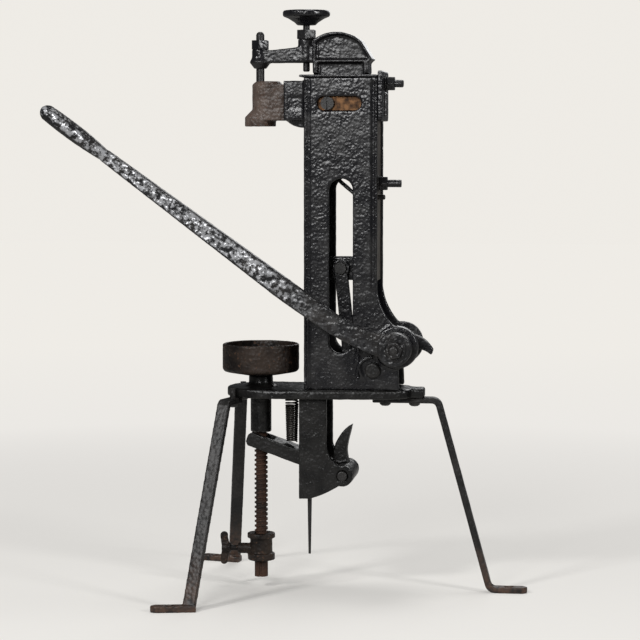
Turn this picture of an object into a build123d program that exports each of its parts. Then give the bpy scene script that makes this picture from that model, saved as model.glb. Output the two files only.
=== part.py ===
from build123d import *
import os
from math import atan2, cos, degrees, hypot, radians, sin

os.makedirs("parts", exist_ok=True)

# Hand-lever bottle corking machine. Millimetres, +Z up, floor at Z = 0.
# Every x below is measured from the upright axis of the bottle and plunger; the pieces are placed on the
# three planes that follow, which carry that axis to the middle of the whole object.

# Overall reach
LEVER_TIP_X = -253.0
RIGHT_TOE_X = 320.5
BOTTLE_X = -(LEVER_TIP_X + RIGHT_TOE_X) / 2

FRONT = Plane(origin=(BOTTLE_X, 0, 0), x_dir=(1, 0, 0), z_dir=(0, -1, 0))
PLAN = Plane(origin=(BOTTLE_X, 0, 0), x_dir=(1, 0, 0), z_dir=(0, 0, 1))
SIDE = Plane(origin=(BOTTLE_X, 0, 0), x_dir=(0, 1, 0), z_dir=(1, 0, 0))

# Clearances
RUN = 0.05  # a shaft in its bearing
SLIDE = 0.3  # a sliding face beside its guide
LOOSE = 1.0  # plain air between layers

# Base plate and legs
BASE_TOP = 244.5
BASE_THICK = 11.0
BASE_UNDER = BASE_TOP - BASE_THICK
BASE_HALF = 50.0
BASE_LEFT = -40.0
TONGUE_END = 197.0
TONGUE_HALF = 15.0
LEG_WIDE = 15.0
LEG_THICK = 7.5
FOOT_HOLE_R = 5.0
FOOT_LONG = 45.0

# Column
WALL_LEFT = 56.7
WALL_RIGHT = 143.5
COLUMN_TOP = 611.5
CHEEK_IN = 30.0
CHEEK_THICK = 6.5
RIB_PROUD = 1.5
RIB_WIDE = 5.5
WEB_THICK = 8.0
SLOT_X = 100.7
SLOT_WIDE = 28.0
SLOT_LOW = 287.6
SLOT_HIGH = 493.0
FOOT_X = 170.0

# Lever shaft, crank and link
SHAFT_X = 167.3
SHAFT_Z = 295.5
SHAFT_R = 9.0
BUSH_R = 13.0
BOSS_R = 25.0
BOSS_OUT = 44.0
CRANK_R = 64.7
CRANK_REST = 209.1  # degrees, counted from +X towards +Z
CRANK_PIN_R = 6.0
LEVER_TURN = 79.0
RAM_STROKE = 81.0
RAM_PIN_X = 98.0
RAM_PIN_Z = 386.7
RAM_PIN_R = 5.0
LINK_TURN = 6.7
LINK_THICK = 8.0
LINK_WALL = 5.0
CRANK_THICK = 10.0
CRANK_FRONT = -7.0

# Ram
RAM_HALF = 12.0
RAM_LEFT = WALL_LEFT + WEB_THICK + SLIDE
RAM_RIGHT = 131.2
RAM_LOW = 372.0
WINDOW_LOW = 400.0
WINDOW_HIGH = 495.0
BRACE_HIGH = 512.0
BRACE_DROP = 43.5
BRACE_WIDE = 6.0
RAIL = 9.0
NECK_LOW = COLUMN_TOP + 4.5
NECK_HIGH = COLUMN_TOP + 17.5
NECK_HALF = 20.0
ARM_HALF = 9.0
PLUNGER_R = 4.9
STOP_X = 55.3
STOP_R = 4.0

# Compression slide and head
SLIDE_Z = COLUMN_TOP - 30.5
SLIDE_HIGH = 16.0
JAW_STROKE = 17.0
SCREW_X = 84.3
ROLLER_R = 4.0
GROOVE_DEEP = 5.0
BAR_OUT = CHEEK_IN - 0.5
BAR_IN = BAR_OUT - 12.5
HEAD_TOP = COLUMN_TOP - 4
HEAD_LOW = COLUMN_TOP - 50.5
HEAD_ROUND_X = 9.0
HEAD_ROUND_R = 18.5
NOSE_HALF = CHEEK_IN + 1.0
HEAD_FACE = 32.0
BORE_R = 7.0
JAW_HALF = 7.0
JAW_HIGH = 37.4
JAW_MID = COLUMN_TOP - 27.5
JAW_BACK = 20.0
YOKE_FRONT = 37.3
YOKE_BACK = 47.0

# Bottle cup, rod and collar
CUP_R = 46.0
CUP_RIM = 295.4
HUB_TOP = 257.0
ROD_R = 8.2
ROD_LOW = 13.0
SLEEVE_R = 12.5
SLEEVE_LOW = 189.0
COLLAR_LOW = 33.0
COLLAR_HIGH = 66.0
WING_Z = 46.4

# Fork lever and its bracket
FORK_X = 102.2
FORK_Z = 141.3
FORK_END_R = 13.0
FORK_PIN_R = 6.0
FORK_HIGH = 17.0
FORK_SLOPE = 19.7  # degrees above -X
FORK_REACH = 124.0
PLATE_IN = 26.0
PLATE_OUT = 34.0
SPRING_X = 37.5


def block(x0, x1, y0, y1, z0, z1, mode=Mode.ADD):
    """Adds a plain block between two corners."""
    with BuildSketch(PLAN.offset(z0)) as face:
        with Locations(((x0 + x1) / 2, (y0 + y1) / 2)):
            Rectangle(x1 - x0, y1 - y0)
    extrude(face.sketch, amount=z1 - z0, mode=mode)


def across(x, z, radius, y0, y1, mode=Mode.ADD):
    """Adds a round bar that lies along Y, through (x, z)."""
    with BuildSketch(FRONT.offset(-y0)) as face:
        with Locations((x, z)):
            Circle(radius)
    extrude(face.sketch, amount=y0 - y1, mode=mode)


def lying(y, z, radius, x0, x1, mode=Mode.ADD):
    """Adds a round bar that lies along X, through (y, z)."""
    with BuildSketch(SIDE.offset(x0)) as face:
        with Locations((y, z)):
            Circle(radius)
    extrude(face.sketch, amount=x1 - x0, mode=mode)


def turned(x, outline, mode=Mode.ADD, y=0):
    """Adds a turned body that stands on the upright axis at x, from (radius, height) points."""
    upright = Plane(origin=(BOTTLE_X + x, y, 0), x_dir=(1, 0, 0), z_dir=(0, -1, 0))
    with BuildSketch(upright) as half:
        with BuildLine():
            Polyline(*outline, close=True)
        make_face()
    revolve(half.sketch, axis=Axis(upright.origin, (0, 0, 1)), mode=mode)


def hex_upright(x, flats, z0, z1, bore):
    """Adds a six-sided nut that stands on the upright axis at x."""
    with BuildSketch(PLAN.offset(z0)) as face:
        with Locations((x, 0)):
            RegularPolygon(flats / 2, 6, major_radius=False, rotation=30)
            Circle(bore, mode=Mode.SUBTRACT)
    extrude(face.sketch, amount=z1 - z0)


def outline_xz(corners, y0, y1, mode=Mode.ADD):
    """Adds a flat plate whose corners are (x, z) points, between two depths."""
    with BuildSketch(FRONT.offset(-y0)) as face:
        with BuildLine():
            Polyline(*corners, close=True)
        make_face()
    extrude(face.sketch, amount=y0 - y1, mode=mode)


def keep(piece, name):
    """Names a finished piece and writes it."""
    piece.part.label = name
    export_step(piece.part, f"parts/{name}.step")


# ---------------------------------------------------------------- column casting
# Two cheeks tied by a front web, with shaft bosses and the nose that carries the head.

CHEEK_FACE = CHEEK_IN + CHEEK_THICK
CHEEK_OUT = CHEEK_FACE + RIB_PROUD
FLARE_TOP = 364.0
UPPER_SLOT_LEFT = 72.5
UPPER_SLOT_RIGHT = 124.7
CORBEL_LOW = COLUMN_TOP - 59
TUNNEL_HALF = CHEEK_IN - 0.2

with BuildPart() as column:
    with BuildSketch(FRONT.offset(CHEEK_IN)) as cheek:
        with BuildLine():
            Polyline(
                (SHAFT_X - 4.3, SHAFT_Z + BOSS_R),
                (SHAFT_X, SHAFT_Z),
                (FOOT_X, BASE_TOP),
                (WALL_LEFT, BASE_TOP),
                (WALL_LEFT, COLUMN_TOP),
                (WALL_RIGHT, COLUMN_TOP),
                (WALL_RIGHT, FLARE_TOP),
            )
            ThreePointArc((WALL_RIGHT, FLARE_TOP), (150.5, 339), (SHAFT_X - 4.3, SHAFT_Z + BOSS_R))
        make_face()
        with Locations((SHAFT_X, SHAFT_Z)):
            Circle(BOSS_R + 0.5)
        with Locations((SLOT_X, (SLOT_LOW + SLOT_HIGH) / 2)):
            SlotOverall(SLOT_HIGH - SLOT_LOW, SLOT_WIDE, rotation=90, mode=Mode.SUBTRACT)
        with Locations(((UPPER_SLOT_LEFT + UPPER_SLOT_RIGHT) / 2, SLIDE_Z)):
            SlotOverall(UPPER_SLOT_RIGHT - UPPER_SLOT_LEFT, SLIDE_HIGH + 0.5, mode=Mode.SUBTRACT)
    extrude(amount=CHEEK_THICK)
    # raised border ribs along both upright edges
    rib_in = RIB_WIDE / 2 + 0.6
    for rib_x, rib_low in ((WALL_LEFT + rib_in, BASE_TOP), (WALL_RIGHT - rib_in, FLARE_TOP)):
        with BuildSketch(FRONT.offset(CHEEK_FACE)):
            with Locations((rib_x, (rib_low + COLUMN_TOP) / 2)):
                Rectangle(RIB_WIDE, COLUMN_TOP - rib_low)
        extrude(amount=RIB_PROUD)
    # crescent rib round the foot of the shaft boss
    with BuildSketch(FRONT.offset(CHEEK_FACE)):
        with BuildLine():
            ThreePointArc((122, 294), (118, 275), (128, 258))
            ThreePointArc((128, 258), (123.5, 276), (122, 294))
        make_face()
    extrude(amount=RIB_PROUD)
    mirror(about=Plane.XZ)
    across(SHAFT_X, SHAFT_Z, BOSS_R, -BOSS_OUT, -CHEEK_IN)
    across(SHAFT_X, SHAFT_Z, BOSS_R - 2, CHEEK_IN, BOSS_OUT)
    across(SHAFT_X, SHAFT_Z, BUSH_R, -BOSS_OUT, BOSS_OUT, mode=Mode.SUBTRACT)
    block(WALL_LEFT, WALL_LEFT + WEB_THICK, -CHEEK_IN, CHEEK_IN, BASE_TOP, COLUMN_TOP)
    # nose that carries the head, with a quarter-round corbel under it
    block(HEAD_FACE, WALL_LEFT, -NOSE_HALF, NOSE_HALF, HEAD_LOW, HEAD_TOP)
    with BuildSketch(FRONT.offset(CHEEK_IN - 8)):
        with BuildLine():
            Polyline((HEAD_FACE + 2, HEAD_LOW), (WALL_LEFT, HEAD_LOW), (WALL_LEFT, CORBEL_LOW))
            ThreePointArc((WALL_LEFT, CORBEL_LOW), (42, CORBEL_LOW + 2.7), (HEAD_FACE + 2, HEAD_LOW))
        make_face()
    extrude(amount=-2 * (CHEEK_IN - 8))
    # tunnel of the compression slide and the taller channel of its jaw
    tunnel_z = (SLIDE_Z - SLIDE_HIGH / 2 - SLIDE, SLIDE_Z + SLIDE_HIGH / 2 + SLIDE)
    tunnel_front = YOKE_FRONT - SLIDE
    block(tunnel_front, WALL_LEFT + WEB_THICK, -TUNNEL_HALF, TUNNEL_HALF, *tunnel_z, mode=Mode.SUBTRACT)
    jaw_z = (JAW_MID - JAW_HIGH / 2 - SLIDE, JAW_MID + JAW_HIGH / 2 + SLIDE)
    jaw_end = JAW_BACK + JAW_STROKE + SLIDE
    jaw_side = JAW_HALF + SLIDE
    block(HEAD_FACE, jaw_end, -jaw_side, jaw_side, *jaw_z, mode=Mode.SUBTRACT)
    # hole of the cheek bolt
    CHEEK_BOLT = (139.0, 268.0)
    across(*CHEEK_BOLT, 5.0, -CHEEK_OUT, -CHEEK_IN, mode=Mode.SUBTRACT)
keep(column, "column_casting")

with BuildPart() as cheek_bolt:
    across(*CHEEK_BOLT, 5.0, -CHEEK_FACE, -CHEEK_IN)
    across(*CHEEK_BOLT, 9.5, -CHEEK_FACE - 6, -CHEEK_FACE)
    fillet(cheek_bolt.faces().sort_by(Axis.Y)[0].edges(), 3)
keep(cheek_bolt, "cheek_bolt")

with BuildPart() as shaft_bushes:
    for near, far in ((-BOSS_OUT, -CHEEK_IN), (CHEEK_IN, BOSS_OUT)):
        across(SHAFT_X, SHAFT_Z, BUSH_R, near, far)
    across(SHAFT_X, SHAFT_Z, SHAFT_R + RUN, -BOSS_OUT, BOSS_OUT, mode=Mode.SUBTRACT)
keep(shaft_bushes, "shaft_bushes")

# ---------------------------------------------------------------- cap, back guide and its fixings

CAP_THICK = 3.0
CAP_TOP = COLUMN_TOP + CAP_THICK
GUIDE_FRONT = RAM_RIGHT + SLIDE
GUIDE_BACK = GUIDE_FRONT + 9.5

with BuildPart() as top_cap:
    block(51.5, WALL_RIGHT, -CHEEK_OUT - 1, CHEEK_OUT + 1, COLUMN_TOP, CAP_TOP)
    fillet(top_cap.faces().sort_by(Axis.Z)[-1].edges(), 1)
    block(RAM_LEFT - 0.5, RAM_RIGHT + 0.5, -RAM_HALF - 0.5, RAM_HALF + 0.5, COLUMN_TOP, CAP_TOP, mode=Mode.SUBTRACT)
keep(top_cap, "top_cap")

UPPER_STUD = COLUMN_TOP - 7.1
LOWER_STUD = 486.8
PIN_Z = 470.6
STUD_R = 4.5
with BuildPart() as back_guide:
    block(GUIDE_FRONT, GUIDE_BACK, -CHEEK_IN, CHEEK_IN, RAM_LOW, COLUMN_TOP)
    # room for the ends of the slide's two bars
    for near, far in ((-CHEEK_IN, -BAR_IN + LOOSE), (BAR_IN - LOOSE, CHEEK_IN)):
        block(GUIDE_FRONT, GUIDE_BACK, near, far, *tunnel_z, mode=Mode.SUBTRACT)
    lying(0, LOWER_STUD, STUD_R, GUIDE_FRONT + 2, GUIDE_BACK, mode=Mode.SUBTRACT)
keep(back_guide, "back_guide")

CLAMP_FRONT = WALL_RIGHT
CLAMP_BACK = WALL_RIGHT + 6
CLAMP_LOW = COLUMN_TOP - 51.5
CLAMP_HIGH = COLUMN_TOP + 7.5
PAD_HALF = 9.0
with BuildPart() as clamp_block:
    block(CLAMP_FRONT, CLAMP_BACK, -CHEEK_FACE, CHEEK_FACE, CLAMP_LOW, CLAMP_HIGH)
    fillet(clamp_block.edges().filter_by(Axis.X), 5)
    block(CLAMP_BACK, CLAMP_BACK + 2.5, -PAD_HALF, PAD_HALF, CLAMP_LOW + 6, UPPER_STUD - 11.4)
    lying(0, UPPER_STUD, STUD_R, CLAMP_FRONT, CLAMP_BACK, mode=Mode.SUBTRACT)
keep(clamp_block, "clamp_block")

# each row: height, where the nut starts, where the stud starts, where it ends
STUDS = ((UPPER_STUD, CLAMP_BACK, GUIDE_BACK, 171.0), (LOWER_STUD, GUIDE_BACK, GUIDE_FRONT + 2, 168.7))
WASHER = 1.4
NUT_HIGH = 9.6
with BuildPart() as guide_studs:
    for stud_z, nut_x, stud_x, stud_end in STUDS:
        lying(0, stud_z, STUD_R, stud_x, stud_end)
    fillet(guide_studs.faces().filter_by(Plane.YZ).group_by(Axis.X)[-1].edges(), 1.5)
keep(guide_studs, "guide_studs")

with BuildPart() as guide_washers:
    for stud_z, nut_x, stud_x, stud_end in STUDS:
        lying(0, stud_z, 9.5, nut_x, nut_x + WASHER)
        lying(0, stud_z, STUD_R, nut_x, nut_x + WASHER, mode=Mode.SUBTRACT)
keep(guide_washers, "guide_washers")

with BuildPart() as guide_nuts:
    for stud_z, nut_x, stud_x, stud_end in STUDS:
        with BuildSketch(SIDE.offset(nut_x + WASHER)) as nut_face:
            with Locations((0, stud_z)):
                RegularPolygon(15.6 / 2, 6, major_radius=False)
                Circle(STUD_R, mode=Mode.SUBTRACT)
        extrude(amount=NUT_HIGH)
keep(guide_nuts, "guide_nuts")

with BuildPart() as guide_pin:
    lying(0, PIN_Z, 3, GUIDE_BACK, GUIDE_BACK + 8.5)
    fillet(guide_pin.faces().sort_by(Axis.X)[-1].edges(), 1.5)
keep(guide_pin, "guide_pin")

# ---------------------------------------------------------------- corking head

MOUTH_R = 18.5
MOUTH_LOW = COLUMN_TOP - 57.5
HEAD_CROWN = 4.0
with BuildPart() as head:
    turned(HEAD_ROUND_X, (
        (0, HEAD_LOW), (HEAD_ROUND_R, HEAD_LOW), (HEAD_ROUND_R, HEAD_TOP - HEAD_CROWN),
        (HEAD_ROUND_R - HEAD_CROWN, HEAD_TOP), (0, HEAD_TOP),
    ))
    block(HEAD_ROUND_X, HEAD_FACE, -HEAD_ROUND_R, HEAD_ROUND_R, HEAD_LOW, HEAD_TOP - HEAD_CROWN)
    turned(0, (
        (0, MOUTH_LOW), (MOUTH_R, MOUTH_LOW), (MOUTH_R, COLUMN_TOP - 46.5), (9.6, COLUMN_TOP - 37.5),
        (0, COLUMN_TOP - 37.5),
    ))
    turned(0, (
        (0, MOUTH_LOW), (MOUTH_R - 3, MOUTH_LOW), (BORE_R, COLUMN_TOP - 45.5), (BORE_R, HEAD_TOP),
        (0, HEAD_TOP),
    ), mode=Mode.SUBTRACT)
    block(0, HEAD_FACE, -jaw_side, jaw_side, *jaw_z, mode=Mode.SUBTRACT)
keep(head, "corking_head")

# ---------------------------------------------------------------- base plate, sleeve and legs

with BuildPart() as base_plate:
    with BuildSketch(PLAN.offset(BASE_UNDER)):
        with BuildLine():
            ThreePointArc((5, BASE_HALF), (BASE_LEFT, 0), (5, -BASE_HALF))
            Polyline(
                (5, -BASE_HALF),
                (WALL_LEFT + 6, -BASE_HALF),
                (FOOT_X - 15, -CHEEK_OUT - 5),
                (FOOT_X + 8, -TONGUE_HALF - 12),
                (FOOT_X + 13, -TONGUE_HALF),
                (TONGUE_END, -TONGUE_HALF),
                (TONGUE_END, TONGUE_HALF),
                (FOOT_X + 13, TONGUE_HALF),
                (FOOT_X + 8, TONGUE_HALF + 12),
                (FOOT_X - 15, CHEEK_OUT + 5),
                (WALL_LEFT + 6, BASE_HALF),
                (5, BASE_HALF),
            )
        make_face()
    extrude(amount=BASE_THICK)
    fillet(base_plate.edges().filter_by(Axis.Z), 3)
    fillet(base_plate.faces().sort_by(Axis.Z)[-1].edges(), 3)
    turned(0, ((0, BASE_TOP - 1), (20, BASE_TOP - 1), (14.5, BASE_TOP + 4), (14.5, HUB_TOP), (0, HUB_TOP)))
    turned(0, ((0, BASE_UNDER), (ROD_R + RUN * 2, BASE_UNDER), (ROD_R + RUN * 2, HUB_TOP), (0, HUB_TOP)),
           mode=Mode.SUBTRACT)

SLEEVE_BORE = ROD_R + RUN * 2
with BuildPart() as rod_sleeve:
    turned(0, (
        (SLEEVE_BORE, SLEEVE_LOW),
        (SLEEVE_R - 1, SLEEVE_LOW),
        (SLEEVE_R, SLEEVE_LOW + 1),
        (SLEEVE_R, BASE_UNDER),
        (SLEEVE_BORE, BASE_UNDER),
    ))
keep(rod_sleeve, "rod_sleeve")

TAB_MID = BASE_UNDER - LEG_THICK / 2
LEG_BEND_R = 9.0
TOE_CUT = 5.0


def leg(stand, spine_points):
    """Adds a leg bent from flat bar, along points of a plane that stands upright."""
    with BuildSketch(stand) as bar:
        with BuildLine():
            spine = FilletPolyline(*spine_points, radius=LEG_BEND_R)
        trace(spine, LEG_THICK)
    extrude(bar.sketch, amount=LEG_WIDE / 2, both=True)


def foot(heel_x, heel_y, out_x, out_y):
    """Adds a flat foot from a leg's heel, its toe's corners cut off."""
    half = LEG_WIDE / 2
    edge = []
    for along, side in (
        (-half, -half), (FOOT_LONG - TOE_CUT, -half), (FOOT_LONG, TOE_CUT - half),
        (FOOT_LONG, half - TOE_CUT), (FOOT_LONG - TOE_CUT, half), (-half, half),
    ):
        edge.append((heel_x + along * out_x - side * out_y, heel_y + along * out_y + side * out_x))
    with BuildSketch(PLAN) as sole:
        with BuildLine():
            Polyline(*edge, close=True)
        make_face()
    extrude(sole.sketch, amount=LEG_THICK)


def rivet(x, y):
    """Adds a round-headed rivet that goes up through a leg's tab and the base plate."""
    under = BASE_UNDER - LEG_THICK
    turned(x, (
        (0, BASE_TOP), (RIVET_R, BASE_TOP), (RIVET_R, under), (RIVET_HEAD, under),
        (RIVET_HEAD * 0.9, under - 2),
        (RIVET_HEAD * 0.6, under - 3.6), (0, under - 4.3),
    ), y=y)


def rivet_hole(x, y):
    """Cuts a rivet's hole through whatever stands at its place."""
    with BuildSketch(PLAN.offset(0)) as hole:
        with Locations((x, y)):
            Circle(RIVET_R)
    extrude(hole.sketch, amount=BASE_TOP + 1, mode=Mode.SUBTRACT)


RIVET_R = 3.5
RIVET_HEAD = 7.0
SIDE_BEND = (-34.0, 62.0)
SIDE_HEEL = (-59.0, 156.0)
SIDE_TOE_TURN = 12.0  # degrees that a side foot points outwards from straight left
RIGHT_BEND_X = 213.0
RIGHT_HEEL_X = RIGHT_TOE_X - FOOT_LONG
side_dx = SIDE_HEEL[0] - SIDE_BEND[0]
side_dy = SIDE_HEEL[1] - SIDE_BEND[1]
side_reach = hypot(side_dx, side_dy)
side_out = (side_dx / side_reach, side_dy / side_reach)
toe_out = (-cos(radians(SIDE_TOE_TURN)), sin(radians(SIDE_TOE_TURN)))
SIDE_TAB = 36.0
RIGHT_TAB = 78.0
SIDE_RIVET = 24.0  # from the bend back along the tab
HOLE_ALONG = 23.0  # from the heel to the foot's hole

side_rivet = (SIDE_BEND[0] - SIDE_RIVET * side_out[0], SIDE_BEND[1] - SIDE_RIVET * side_out[1])
side_hole = (SIDE_HEEL[0] + HOLE_ALONG * toe_out[0], SIDE_HEEL[1] + HOLE_ALONG * toe_out[1])
RIGHT_RIVETS = (150.0, 185.0)

for leg_name, hand in (("leg_rear_left", 1), ("leg_front_left", -1)):
    out = (side_out[0], side_out[1] * hand, 0)
    bend_at = (BOTTLE_X + SIDE_BEND[0], SIDE_BEND[1] * hand, 0)
    stand = Plane(origin=bend_at, x_dir=out, z_dir=(out[1], -out[0], 0))
    with BuildPart() as side_leg:
        leg(stand, ((-SIDE_TAB, TAB_MID), (0, TAB_MID), (side_reach, LEG_THICK)))
        foot(SIDE_HEEL[0], SIDE_HEEL[1] * hand, toe_out[0], toe_out[1] * hand)
        rivet_hole(side_rivet[0], side_rivet[1] * hand)
        with BuildSketch(PLAN) as foot_hole:
            with Locations((side_hole[0], side_hole[1] * hand)):
                Circle(FOOT_HOLE_R)
        extrude(amount=LEG_THICK + 1, mode=Mode.SUBTRACT)
    keep(side_leg, leg_name)

with BuildPart() as leg_right:
    stand = Plane(origin=(BOTTLE_X + RIGHT_BEND_X, 0, 0), x_dir=(1, 0, 0), z_dir=(0, -1, 0))
    right_reach = RIGHT_HEEL_X - RIGHT_BEND_X
    sole_mid = LEG_THICK / 2
    leg(stand, ((-RIGHT_TAB, TAB_MID), (0, TAB_MID), (right_reach, sole_mid), (right_reach + FOOT_LONG, sole_mid)))
    for rivet_x in RIGHT_RIVETS:
        rivet_hole(rivet_x, 0)
    with BuildSketch(PLAN):
        with Locations((RIGHT_HEEL_X + HOLE_ALONG, 0)):
            Circle(FOOT_HOLE_R)
    extrude(amount=LEG_THICK + 1, mode=Mode.SUBTRACT)
    chamfer(leg_right.edges().filter_by(Axis.Z).group_by(Axis.X)[-1], TOE_CUT)
keep(leg_right, "leg_right")

with base_plate:
    rivet_hole(*side_rivet)
    rivet_hole(side_rivet[0], -side_rivet[1])
    for rivet_x in RIGHT_RIVETS:
        rivet_hole(rivet_x, 0)
keep(base_plate, "base_plate")

with BuildPart() as leg_rivets:
    rivet(*side_rivet)
    rivet(side_rivet[0], -side_rivet[1])
    for rivet_x in RIGHT_RIVETS:
        rivet(rivet_x, 0)
keep(leg_rivets, "leg_rivets")

# ---------------------------------------------------------------- fork bracket, tail rod and pin

BRACKET_LEFT = 50.3
BRACKET_RIGHT = 83.4
BRACKET_LOW = 113.0
TIE_LOW = 180.0
FOOT_TIE_HIGH = 129.0
SCOOP_HIGH = 178.0
HUB_REACH = 12.3
with BuildPart() as fork_bracket:
    with BuildSketch(FRONT.offset(PLATE_IN)):
        with BuildLine():
            Polyline((BRACKET_RIGHT, SCOOP_HIGH), (BRACKET_RIGHT, BASE_UNDER), (BRACKET_LEFT, BASE_UNDER),
                     (BRACKET_LEFT, BRACKET_LOW), (64, BRACKET_LOW))
            ThreePointArc((64, BRACKET_LOW), (84, 121), (FORK_X - 4, FORK_Z - HUB_REACH))
            Line((FORK_X - 4, FORK_Z - HUB_REACH), (FORK_X - 4, FORK_Z + HUB_REACH))
            ThreePointArc((FORK_X - 4, FORK_Z + HUB_REACH), (87.5, 163.5), (BRACKET_RIGHT, SCOOP_HIGH))
        make_face()
        with Locations((FORK_X, FORK_Z)):
            Circle(FORK_END_R)
            Circle(FORK_PIN_R, mode=Mode.SUBTRACT)
    extrude(amount=PLATE_OUT - PLATE_IN)
    mirror(about=Plane.XZ)
    block(BRACKET_LEFT, BRACKET_LEFT + 7, -PLATE_IN, PLATE_IN, TIE_LOW, BASE_UNDER)
    block(BRACKET_LEFT, BRACKET_LEFT + 16, -PLATE_IN, PLATE_IN, BRACKET_LOW, FOOT_TIE_HIGH)
keep(fork_bracket, "fork_bracket")

TAIL_X = 59.0
with BuildPart() as tail_rod:
    turned(TAIL_X, ((0, 41.6), (1.5, 41.6), (2.7, BRACKET_LOW), (0, BRACKET_LOW)))
keep(tail_rod, "tail_rod")

with BuildPart() as fork_pin:
    across(FORK_X, FORK_Z, FORK_PIN_R, -PLATE_OUT - 3, PLATE_OUT + 3)
    fillet(fork_pin.faces().filter_by(Plane.XZ).edges(), 1.5)
keep(fork_pin, "fork_pin")

# ---------------------------------------------------------------- fork lever and spring

fork_dir = (-cos(radians(FORK_SLOPE)), sin(radians(FORK_SLOPE)))
FORK_HALF = 19.0
TINE_IN = SLEEVE_R + 0.8


def fork_point(along, up):
    """A point of the fork lever, along its arm from the pivot and square to it."""
    return (
        FORK_X + along * fork_dir[0] + up * fork_dir[1],
        FORK_Z + along * fork_dir[1] - up * fork_dir[0],
    )


HORN_TIP = (FORK_X + 9, FORK_Z + 58.7)
arm_low = -FORK_HIGH / 2
arm_high = FORK_HIGH / 2
with BuildPart() as fork_lever:
    outline_xz(
        (fork_point(0, arm_low), fork_point(FORK_REACH - 4, arm_low), fork_point(FORK_REACH, arm_low + 4),
         fork_point(FORK_REACH, arm_high - 4), fork_point(FORK_REACH - 4, arm_high), fork_point(0, arm_high)),
        -FORK_HALF, FORK_HALF,
    )
    slot_in = 16.0
    block(-40, slot_in, -TINE_IN, TINE_IN, 150, 210, mode=Mode.SUBTRACT)
    # the horn stands up from the hub
    with BuildSketch(FRONT.offset(8)):
        with BuildLine():
            Spline((FORK_X - 12, FORK_Z + 4), (FORK_X - 14, FORK_Z + 26), (FORK_X - 7, FORK_Z + 44), HORN_TIP)
            Spline(HORN_TIP, (FORK_X + 4, FORK_Z + 38), (FORK_X + 3, FORK_Z + 20), (FORK_X + 11, FORK_Z + 5))
            Line((FORK_X + 11, FORK_Z + 5), (FORK_X - 12, FORK_Z + 4))
        make_face()
    extrude(amount=-16)
    across(FORK_X, FORK_Z, FORK_END_R, -PLATE_IN + SLIDE, PLATE_IN - SLIDE)
    across(FORK_X, FORK_Z, FORK_PIN_R + RUN, -PLATE_IN, PLATE_IN, mode=Mode.SUBTRACT)
keep(fork_lever, "fork_lever")

# the coil's lower end stands on the arm, the upper one hangs from the base plate
spring_foot = FORK_Z + (FORK_X - SPRING_X + 8) * -fork_dir[1] / fork_dir[0] + FORK_HIGH / 2 / -fork_dir[0]
with BuildPart() as lift_spring:
    turned(SPRING_X, ((4.6, spring_foot), (7, spring_foot), (8.5, BASE_UNDER), (6, BASE_UNDER)))
keep(lift_spring, "lift_spring")

# ---------------------------------------------------------------- bottle cup, rod, collar, wing screw

CUP_FLOOR = 281.0
ROD_TOP = 270.0
with BuildPart() as bottle_cup:
    turned(0, (
        (0, ROD_TOP), (ROD_R, ROD_TOP), (ROD_R, HUB_TOP), (16, HUB_TOP), (CUP_R - 2, 262), (CUP_R, 265),
        (CUP_R, CUP_RIM - 1.5), (CUP_R - 1.5, CUP_RIM), (CUP_R - 3.5, CUP_RIM), (CUP_R - 4.5, CUP_FLOOR),
        (0, CUP_FLOOR),
    ))
keep(bottle_cup, "bottle_cup")

KEY_HIGH = 18.0
with BuildPart() as lifting_rod:
    turned(0, (
        (0, ROD_LOW), (ROD_R - 1, ROD_LOW), (ROD_R, ROD_LOW + 1), (ROD_R, ROD_TOP), (0, ROD_TOP),
    ))
    block(-1.5, 1.5, -ROD_R, -ROD_R + 1.5, ROD_LOW, ROD_LOW + KEY_HIGH, mode=Mode.SUBTRACT)
keep(lifting_rod, "lifting_rod")

COLLAR_BORE = ROD_R + RUN * 2
WING_R = 3.5
with BuildPart() as rod_collar:
    turned(0, (
        (0, COLLAR_LOW), (15.5, COLLAR_LOW), (16.5, COLLAR_LOW + 1), (16.5, COLLAR_LOW + 8),
        (13.5, COLLAR_LOW + 9),
        (13.5, COLLAR_HIGH - 7), (16.8, COLLAR_HIGH - 6), (16.8, COLLAR_HIGH - 1), (15.8, COLLAR_HIGH),
        (0, COLLAR_HIGH),
    ))
    lying(0, WING_Z, 6.5, -28, -8)
    turned(0, ((0, COLLAR_LOW), (COLLAR_BORE, COLLAR_LOW), (COLLAR_BORE, COLLAR_HIGH), (0, COLLAR_HIGH)),
           mode=Mode.SUBTRACT)
    lying(0, WING_Z, WING_R + RUN, -28, -COLLAR_BORE + 1, mode=Mode.SUBTRACT)
keep(rod_collar, "rod_collar")

WING_X = -45.0
with BuildPart() as wing_screw:
    lying(0, WING_Z, WING_R, WING_X, -9)
    lying(0, WING_Z, 6, WING_X - 3, WING_X + 8)
    with BuildSketch(FRONT.offset(2.2)):
        with BuildLine():
            Polyline((WING_X + 6, WING_Z - 5), (WING_X + 6, WING_Z + 5), (WING_X + 4, WING_Z + 14))
            ThreePointArc((WING_X + 4, WING_Z + 14), (WING_X, WING_Z + 20), (WING_X - 5, WING_Z + 15))
            Polyline((WING_X - 5, WING_Z + 15), (WING_X - 3, WING_Z), (WING_X - 5, WING_Z - 15))
            ThreePointArc((WING_X - 5, WING_Z - 15), (WING_X, WING_Z - 20), (WING_X + 4, WING_Z - 14))
            Line((WING_X + 4, WING_Z - 14), (WING_X + 6, WING_Z - 5))
        make_face()
    extrude(amount=-4.4)
keep(wing_screw, "wing_screw")

# ---------------------------------------------------------------- lever, shaft, crank and claw

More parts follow.
